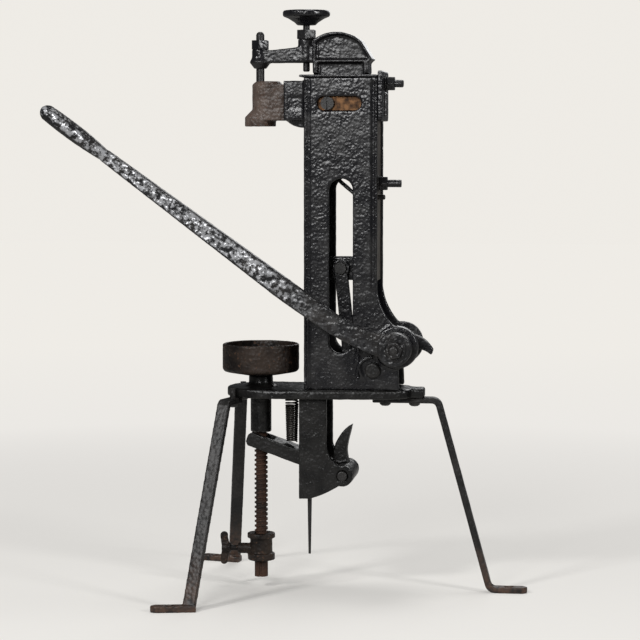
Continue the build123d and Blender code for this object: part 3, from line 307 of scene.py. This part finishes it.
def painted_iron(name, dark, pale, worn, specular, rough_low, rough_high, depth, fleck_share):
    """Gloss black paint on iron: dark body, paler thin patches and a worn metal tone on edges, the edge
    tone partly rubbed paint and partly a painted highlight.
    """
    material, tree, shader = finish_of(name, specular=specular)
    skin = place_group(tree, casting_skin, Lump=120.0, Grain=310.0, Grain_Share=0.8)
    edge_wear_and_glint = place_group(tree, edge_wear_and_highlight, Low=0.03, High=0.2)
    body = blend_colours(tree, skin.outputs["Patch"], dark, pale)
    flecks = calculate(tree, "MULTIPLY", skin.outputs["Fleck"], fleck_share)
    flecked = blend_colours(tree, flecks, body, worn)
    # the worn tone on the arrises is partly rubbed paint and partly a painted highlight along each arris
    edge_highlight_share = calculate(tree, "MULTIPLY", edge_wear_and_glint.outputs["Edge"], 0.7)
    colour = blend_colours(tree, edge_highlight_share, flecked, worn)
    tree.links.new(colour, shader.inputs["Base Color"])
    gloss = tree.nodes.new("ShaderNodeMapRange")
    tree.links.new(skin.outputs["Patch"], gloss.inputs["Value"])
    gloss.inputs["To Min"].default_value = rough_low
    gloss.inputs["To Max"].default_value = rough_high
    tree.links.new(gloss.outputs["Result"], shader.inputs["Roughness"])
    bump(tree, shader, skin.outputs["Height"], depth)
    return material


# its worn tone marks flecks of wear and also lightens the arrises, partly as a painted highlight
black_paint = painted_iron(
    "black_casting_paint",
    dark=(0.004, 0.004, 0.0055, 1),
    pale=(0.011, 0.0105, 0.011, 1),
    worn=(0.12, 0.11, 0.1, 1),
    specular=0.5,
    rough_low=0.25,
    rough_high=0.36,
    depth=0.00045,
    fleck_share=0.04,
)
# a darker, less glossy copy of the black paint for the low parts: painted shade, standing in for the
# shadow that the base, sleeve, bracket and fork sit in
shaded_black_paint = painted_iron(
    "shade_darkened_casting_paint",
    dark=(0.003, 0.003, 0.003, 1),
    pale=(0.008, 0.0075, 0.007, 1),
    worn=(0.07, 0.06, 0.05, 1),
    specular=0.35,
    rough_low=0.28,
    rough_high=0.4,
    depth=0.0005,
    fleck_share=0.05,
)


def cast_piece(node, body, material, voxel=0.0014, rounding=3, swell=0.0003, swell_size=0.009):
    """Replaces a CAD casting by its cast skin, in one material, on the same body."""
    piece = recast(node, node + "_skin", voxel, rounding, swell, swell_size)
    piece.data.materials.append(material)
    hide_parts(node)
    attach(piece, body)
    return piece


cast_piece("base_plate", "frame", shaded_black_paint, voxel=0.0012, rounding=4)


def dress(material, *names):
    """Gives CAD nodes that keep their own mesh a finish."""
    for name in names:
        mesh = nodes[name].data
        mesh.materials.clear()
        mesh.materials.append(material)


# ---- Rod sleeve
# A plain turned steel tube, painted black like the base, fixed up into the underside of the base
# plate, where it guides the lifting rod.
# the sleeve takes the base's darker copy of the black paint, as painted shade
dress(shaded_black_paint, "rod_sleeve")

# ---- Legs
# Three legs bent cold from flat iron bar and riveted under the base plate. Their black paint is grey
# along the arrises, partly worn and partly a painted highlight, and brown with rust towards the feet.
leg_paint, leg_tree, leg_shader = finish_of("worn_leg_paint", specular=0.35)
leg_skin = place_group(leg_tree, casting_skin, Lump=70.0, Grain=230.0, Grain_Share=0.7)
leg_edge_wear_and_glint = place_group(leg_tree, edge_wear_and_highlight, Low=0.02, High=0.16)
leg_dark = (0.006, 0.0058, 0.0055, 1)
leg_body = blend_colours(leg_tree, leg_skin.outputs["Patch"], leg_dark, (0.02, 0.018, 0.017, 1))
# the grey on the arrises is partly rubbed paint and partly a painted highlight
leg_edge_glint_share = calculate(leg_tree, "MULTIPLY", leg_edge_wear_and_glint.outputs["Edge"], 0.6)
leg_rubbed_and_glinting = blend_colours(leg_tree, leg_edge_glint_share, leg_body, (0.11, 0.1, 0.09, 1))
leg_where = leg_tree.nodes.new("ShaderNodeTexCoord")
leg_axes = leg_tree.nodes.new("ShaderNodeSeparateXYZ")
leg_tree.links.new(leg_where.outputs["Object"], leg_axes.inputs["Vector"])
rust_height = 0.07
low_down = ramp(leg_tree, leg_axes.outputs["Z"], rust_height, 0.0)
leg_mottle = ramp(leg_tree, leg_skin.outputs["Height"], -0.1, 0.35)
leg_rust_mask = calculate(leg_tree, "MULTIPLY", low_down, leg_mottle)
leg_colour = blend_colours(leg_tree, leg_rust_mask, leg_rubbed_and_glinting, (0.07, 0.04, 0.027, 1))
leg_tree.links.new(leg_colour, leg_shader.inputs["Base Color"])
leg_shader.inputs["Roughness"].default_value = 0.42
bump(leg_tree, leg_shader, leg_skin.outputs["Height"], 0.0009)
for leg in ("leg_front_left", "leg_rear_left", "leg_right"):
    cast_piece(leg, "frame", leg_paint, voxel=0.0011, rounding=3, swell=0.00015, swell_size=0.02)
dress(leg_paint, "leg_rivets")

# ---- Column casting
# The tall hollow column: two slotted cheeks, a front web, the shaft bosses and the nose for the head,
# all in one iron casting under thick black paint.
cast_piece("column_casting", "frame", black_paint, voxel=0.0015, rounding=2, swell=0.0002)
cast_piece("top_cap", "frame", black_paint, voxel=0.0009, rounding=2, swell=0.0002)
cast_piece("cheek_bolt", "frame", leg_paint, voxel=0.0006, rounding=3, swell=0.0001)
cast_piece("clamp_block", "frame", black_paint, voxel=0.001, rounding=3, swell=0.0002)


def tube(name, points, radius, around=10):
    """A round bar swept along points in metres, closed at both ends."""
    made = bpy.data.meshes.new(name)
    ring_points = []
    side_faces = []
    for index, point in enumerate(points):
        before = points[max(index - 1, 0)]
        after = points[min(index + 1, len(points) - 1)]
        along = (after - before).normalized()
        across = along.cross(Vector((0.31, 0.92, 0.23))).normalized()
        upward = along.cross(across)
        for step in range(around):
            turn = 2 * math.pi * step / around
            ring_points.append(point + (across * math.cos(turn) + upward * math.sin(turn)) * radius)
            if index:
                here = index * around
                below = here - around
                nearby = (step + 1) % around
                side_faces.append((below + step, below + nearby, here + nearby, here + step))
    last = (len(points) - 1) * around
    side_faces.append(tuple(range(around)))
    side_faces.append(tuple(reversed(range(last, last + around))))
    made.from_pydata(ring_points, [], side_faces)
    for face in made.polygons:
        face.use_smooth = True
    bar = bpy.data.objects.new(name, made)
    bpy.context.scene.collection.objects.link(bar)
    return bar


# half-round beads stand along the upright borders of both cheeks, and a crescent by each cheek bolt
column_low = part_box("column_casting")[0]
nose_reach = 0.0247
wall_left = column_low[0] + nose_reach
border_face = 0.0379
bead_radius = 0.0016
bead_top = 0.6085
bead_steps = 40
left_bead_in = 0.0022
right_bead_in = 0.0823
beads = (("left", wall_left + left_bead_in, 0.250), ("right", wall_left + right_bead_in, 0.372))
cheek_face = 0.0365
bolt_low, bolt_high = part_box("cheek_bolt")
crescent_x = (bolt_low[0] + bolt_high[0]) / 2
crescent_drop = 0.003
crescent_z = (bolt_low[2] + bolt_high[2]) / 2 - crescent_drop
crescent_radius = 0.0185
crescent_bar = 0.0024
crescent_start = 90
crescent_sweep = 110
crescent_steps = 24
round_sides = 14
for hand, side_name in ((-1, "front"), (1, "back")):
    for edge_name, bead_x, bead_foot in beads:
        rise = (bead_top - bead_foot) / bead_steps
        heights = [bead_foot + rise * step for step in range(bead_steps + 1)]
        upright = [Vector((bead_x, hand * border_face, height)) for height in heights]
        bead = tube("column_bead_" + edge_name + "_" + side_name, upright, bead_radius, round_sides)
        bead.data.materials.append(black_paint)
        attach(bead, "frame")
    arc = []
    for step in range(crescent_steps + 1):
        angle = math.radians(crescent_start + crescent_sweep * step / crescent_steps)
        arc_x = crescent_x + crescent_radius * math.cos(angle)
        arc.append(Vector((arc_x, hand * cheek_face, crescent_z + crescent_radius * math.sin(angle))))
    crescent = tube("crescent_" + side_name, arc, crescent_bar, round_sides)
    crescent.data.materials.append(black_paint)
    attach(crescent, "frame")

bronze, bronze_tree, bronze_shader = finish_of("oiled_bronze", metallic=1.0)
bronze_shader.inputs["Roughness"].default_value = 0.4
bronze_grain = place_group(bronze_tree, casting_skin, Lump=200.0)
bronze_bright = (0.42, 0.27, 0.12, 1)
bronze_dull = (0.25, 0.16, 0.09, 1)
bronze_tone = blend_colours(bronze_tree, bronze_grain.outputs["Patch"], bronze_bright, bronze_dull)
bronze_tree.links.new(bronze_tone, bronze_shader.inputs["Base Color"])
dress(bronze, "shaft_bushes")

# ---- Back guide, clamp and studs
# A planed steel strip closes the back of the column and bears on the ram. Two steel studs with
# hexagon nuts and washers set how tightly it bears.


def weathered(name, skin_values, tones, fleck, roughness, depth, **finish):
    """Metal in two tones, patch by patch, with flecks of a third tone where one is given."""
    material, tree, shader = finish_of(name, **finish)
    skin = place_group(tree, casting_skin, **skin_values)
    colour = blend_colours(tree, skin.outputs["Patch"], *tones)
    if fleck:
        colour = blend_colours(tree, skin.outputs["Fleck"], colour, fleck)
    tree.links.new(colour, shader.inputs["Base Color"])
    shader.inputs["Roughness"].default_value = roughness
    bump(tree, shader, skin.outputs["Height"], depth)
    return material


worn_steel = weathered(
    "worn_steel",
    {"Lump": 240.0, "Grain": 900.0, "Grain_Share": 0.6},
    ((0.2, 0.18, 0.155, 1), (0.09, 0.075, 0.06, 1)),
    fleck=(0.16, 0.1, 0.06, 1),
    roughness=0.38,
    depth=0.0002,
    metallic=0.85,
)
dark_steel = weathered(
    "dark_steel",
    {"Lump": 300.0, "Grain": 900.0, "Grain_Share": 0.6},
    ((0.014, 0.013, 0.012, 1), (0.007, 0.006, 0.006, 1)),
    fleck=None,
    roughness=0.42,
    depth=0.0002,
    specular=0.45,
)
dress(worn_steel, "back_guide")
dress(dark_steel, "guide_pin")
for fixing in ("guide_studs", "guide_nuts", "guide_washers"):
    cast_piece(fixing, "frame", black_paint, voxel=0.0005, rounding=3, swell=0.0001, swell_size=0.004)

# ---- Corking head
# The head is a bare iron casting gone an even, pitted brown. It is held in the column's nose, and its
# bell mouth centres the bottle's lip.
brown_iron = weathered(
    "brown_bare_iron",
    {"Lump": 90.0, "Grain": 280.0, "Grain_Share": 0.9},
    ((0.034, 0.021, 0.015, 1), (0.11, 0.082, 0.068, 1)),
    fleck=(0.09, 0.045, 0.028, 1),
    roughness=0.42,
    depth=0.0011,
    specular=0.4,
)
cast_piece("corking_head", "frame", brown_iron, voxel=0.0009, rounding=3, swell=0.0002)

# ---- Fork bracket and fork lever
# A cast-iron bracket hangs under the base plate. The cast fork lever turns on a steel pin in it and
# straddles the lifting rod.
# the bracket and fork lever take the darker copy of the black paint, as painted shade
cast_piece("fork_bracket", "frame", shaded_black_paint, voxel=0.0013, rounding=4)
cast_piece("fork_lever", "fork", shaded_black_paint, voxel=0.0011, rounding=4)
dress(dark_steel, "fork_pin")

# ---- Ram
# The ram is one iron casting that slides in the column. Its neck is an H-section, and its top is a
# rimmed arch with an arm that carries the steel plunger and the depth stop.
cast_piece("ram", "ram", black_paint, voxel=0.0013, rounding=3)
cast_piece("stop_locknut", "ram", black_paint, voxel=0.0006, rounding=3, swell=0.0001)
cast_piece("plunger_locknut", "ram", black_paint, voxel=0.0006, rounding=3, swell=0.0001)
cast_piece("depth_handwheel", "handwheel", black_paint, voxel=0.0007, rounding=2, swell=0.0001)
dress(dark_steel, "plunger", "crosshead_pin", "stop_screw")

# ---- Crank, link and shaft
# A cast crank on the lever's steel shaft drives the ram through a flat forged link, and a claw sits
# behind it on the same shaft.
cast_piece("connecting_link", "link", black_paint, voxel=0.0008, rounding=3, swell=0.0001)
cast_piece("crank", "lever", black_paint, voxel=0.0011, rounding=3, swell=0.0001)
cast_piece("trip_claw", "lever", black_paint, voxel=0.0009, rounding=4, swell=0.0001)
dress(black_paint, "shaft_collar")
dress(dark_steel, "lever_shaft", "crank_pin")

# ---- Hand lever
# A long forged lever with a swan neck by its eye. The paint on the face of its straight part is worn
# to bright patches, while the arrises, the swan neck and the eye stay dark.
lever_paint, lever_tree, lever_shader = finish_of("worn_lever_paint", specular=0.4)
lever_skin = place_group(lever_tree, casting_skin, Lump=130.0, Grain=230.0, Grain_Share=0.9)
lever_where = lever_tree.nodes.new("ShaderNodeTexCoord").outputs["Object"]
lever_axes = lever_tree.nodes.new("ShaderNodeSeparateXYZ")
lever_tree.links.new(lever_where, lever_axes.inputs["Vector"])
swan_side = 0.045
straight_side = -0.03
straight = ramp(lever_tree, lever_axes.outputs["X"], swan_side, straight_side)
chips = ramp(lever_tree, noise_at(lever_tree, lever_where, 150.0, 5.0, 0.6), 0.46, 0.56)
lever_rise = math.radians(36.2)
swan_end_x = -0.00135
swan_end_z = 0.3677
tip_half = 0.0072
half_gain = 0.0046
across_bar = lever_tree.nodes.new("ShaderNodeVectorMath")
across_bar.operation = "DOT_PRODUCT"
lever_tree.links.new(lever_where, across_bar.inputs[0])
across_bar.inputs[1].default_value = (math.sin(lever_rise), 0, math.cos(lever_rise))
mid_line = swan_end_x * math.sin(lever_rise) + swan_end_z * math.cos(lever_rise)
off_mid = calculate(lever_tree, "SUBTRACT", across_bar.outputs["Value"], mid_line)
from_mid = calculate(lever_tree, "ABSOLUTE", off_mid, 0)
along_bar = ramp(lever_tree, lever_axes.outputs["X"], -0.28, 0.0)
bar_half = calculate(lever_tree, "ADD", calculate(lever_tree, "MULTIPLY", along_bar, half_gain), tip_half)
edge_distance = calculate(lever_tree, "SUBTRACT", bar_half, from_mid)
inside_edges = ramp(lever_tree, edge_distance, 0.0012, 0.0032)
bare_share = calculate(lever_tree, "ADD", calculate(lever_tree, "MULTIPLY", straight, 0.9), 0.05)
face_chips = calculate(lever_tree, "MULTIPLY", chips, inside_edges)
chip_mask = calculate(lever_tree, "MULTIPLY", face_chips, bare_share)
lever_dark = (0.008, 0.008, 0.009, 1)
lever_body = blend_colours(lever_tree, lever_skin.outputs["Patch"], lever_dark, (0.022, 0.02, 0.019, 1))
lever_colour = blend_colours(lever_tree, chip_mask, lever_body, (0.46, 0.465, 0.48, 1))
lever_tree.links.new(lever_colour, lever_shader.inputs["Base Color"])
lever_tree.links.new(calculate(lever_tree, "MULTIPLY", chip_mask, 0.5), lever_shader.inputs["Metallic"])
lever_shader.inputs["Roughness"].default_value = 0.3
bump(lever_tree, lever_shader, lever_skin.outputs["Height"], 0.0009)
cast_piece("hand_lever", "lever", lever_paint, voxel=0.0011, rounding=3, swell=0.0002)
for fixing in ("shaft_washer", "shaft_nut"):
    cast_piece(fixing, "lever", lever_paint, voxel=0.0005, rounding=3, swell=0.0001, swell_size=0.004)

# ---- Compression slide
# The brass slide runs in slots in both cheeks, held by two slotted steel screws, and carries the
# steel jaw that squeezes the cork.
brass, brass_tree, brass_shader = finish_of("tarnished_brass", metallic=0.9)
brass_where = brass_tree.nodes.new("ShaderNodeTexCoord").outputs["Object"]
brass_stain = ramp(brass_tree, noise_at(brass_tree, brass_where, 110.0, 4.0, 0.6), 0.42, 0.6)
brass_tone = blend_colours(brass_tree, brass_stain, (0.2, 0.105, 0.05, 1), (0.04, 0.024, 0.016, 1))
brass_tree.links.new(brass_tone, brass_shader.inputs["Base Color"])
brass_shader.inputs["Roughness"].default_value = 0.55
dress(brass, "compression_slide")
dress(dark_steel, "cam_rollers", "slide_screws")
jaw_skin = cast_piece("jaw_block", "compression", dark_steel, voxel=0.0007, rounding=8, swell=0.0001)
# filed back a little all round, so that it runs free in the cast nose
jaw_relief = 0.0011
jaw_normals = [vertex.normal.copy() for vertex in jaw_skin.data.vertices]
for vertex, normal in zip(jaw_skin.data.vertices, jaw_normals):
    vertex.co -= normal * jaw_relief

# ---- Bottle cup and lifting rod
# A cast-iron cup with an upstanding rim is screwed on a steel rod with a square thread. A spool
# collar and a wing screw sit low on the rod, and all of it is dark with rust.
cup_iron = weathered(
    "dark_cup_iron",
    {"Lump": 70.0, "Grain": 260.0, "Grain_Share": 0.8},
    ((0.006, 0.0045, 0.004, 1), (0.03, 0.021, 0.016, 1)),
    fleck=(0.06, 0.034, 0.022, 1),
    roughness=0.45,
    depth=0.001,
    specular=0.2,
)
cast_piece("bottle_cup", "bottle_rest", cup_iron, voxel=0.0011, rounding=2, swell=0.0002)
cast_piece("rod_collar", "collar", cup_iron, voxel=0.0007, rounding=3, swell=0.0002)
cast_piece("wing_screw", "wing_screw", cup_iron, voxel=0.0007, rounding=3, swell=0.0002)

rust = weathered(
    "rusty_thread",
    {"Lump": 120.0, "Grain": 800.0, "Grain_Share": 0.8},
    ((0.05, 0.022, 0.012, 1), (0.015, 0.009, 0.007, 1)),
    fleck=(0.1, 0.048, 0.028, 1),
    roughness=0.7,
    depth=0.0004,
    specular=0.3,
)
dress(dark_steel, "tail_rod")

# the rod's own square thread, right-handed, above a plain end with a keyway
rod_low, rod_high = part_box("lifting_rod")
rod_x = (rod_low[0] + rod_high[0]) / 2
running_room = 0.0002
thread_depth = 0.0018
crest = (rod_high[0] - rod_low[0]) / 2 - running_room
groove_root = crest - thread_depth
pitch = 0.0057
land_half = 0.27
flank = 0.05
pitting = 0.00018
pits_up = 160
plain_length = 0.018
plain_end = rod_low[2] + plain_length
keyway_depth = 0.0015
keyway_half = 0.2
rows_per_pitch = 14
rod_around = 60
rod_rows = int((rod_high[2] - rod_low[2]) / pitch * rows_per_pitch)
rod_points = []
rod_faces = []
for row in range(rod_rows + 1):
    height = rod_low[2] + (rod_high[2] - rod_low[2]) * row / rod_rows
    for step in range(rod_around):
        turn = 2 * math.pi * step / rod_around
        phase = (height / pitch - step / rod_around) % 1.0
        land = min(max((land_half - abs(phase - 0.5)) / flank, 0), 1)
        pit_place = Vector((math.cos(turn), math.sin(turn), height * pits_up)) * 2
        worn = pitting * noise.noise(pit_place)
        radius = groove_root + (crest - groove_root) * land - abs(worn)
        if height < plain_end:
            in_keyway = abs(turn - 1.5 * math.pi) < keyway_half
            radius = crest - keyway_depth if in_keyway else crest
        rod_points.append((rod_x + radius * math.cos(turn), radius * math.sin(turn), height))
        if row:
            here = row * rod_around
            nearby = (step + 1) % rod_around
            below = here - rod_around
            rod_faces.append((below + step, below + nearby, here + nearby, here + step))
last_row = rod_rows * rod_around
rod_faces.append(tuple(reversed(range(rod_around))))
rod_faces.append(tuple(range(last_row, last_row + rod_around)))
rod_mesh = bpy.data.meshes.new("threaded_rod")
rod_mesh.from_pydata(rod_points, [], rod_faces)
threaded_rod = bpy.data.objects.new("threaded_rod", rod_mesh)
bpy.context.scene.collection.objects.link(threaded_rod)
rod_mesh.materials.append(rust)
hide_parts("lifting_rod")
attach(threaded_rod, "bottle_rest")

# ---- Lift spring
# A tapered coil of oiled steel wire stands between the base plate and the fork's arm. It is wound
# close, with its top turns open.
spring_paint, _, spring_shader = finish_of("oiled_spring", metallic=0.6)
spring_shader.inputs["Base Color"].default_value = (0.05, 0.045, 0.04, 1)
spring_shader.inputs["Roughness"].default_value = 0.35
spring_low, spring_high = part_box("lift_spring")
spring_x = (spring_low[0] + spring_high[0]) / 2
wire = 0.00105
coil_top = (spring_high[0] - spring_low[0]) / 2 - wire
coil_taper = 0.0016
coil_foot = coil_top - coil_taper
closed_turns = 20
open_turns = 3
steps_per_turn = 26
spring_length = spring_high[2] - spring_low[2] - 2 * wire
closed_pitch = 2.12 * wire
closed_rise = closed_pitch * closed_turns
coil = []
for step in range((closed_turns + open_turns) * steps_per_turn + 1):
    turns = step / steps_per_turn
    if turns < closed_turns:
        rise = closed_rise * turns / closed_turns
    else:
        rise = closed_rise + (spring_length - closed_rise) * (turns - closed_turns) / open_turns
    size = coil_foot + (coil_top - coil_foot) * rise / spring_length
    angle = 2 * math.pi * turns
    coil_z = spring_low[2] + wire + rise
    coil.append(Vector((spring_x + size * math.cos(angle), size * math.sin(angle), coil_z)))
wire_sides = 8
lift_coil = tube("lift_coil", coil, wire, wire_sides)
lift_coil.data.materials.append(spring_paint)
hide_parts("lift_spring")
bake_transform(lift_coil)
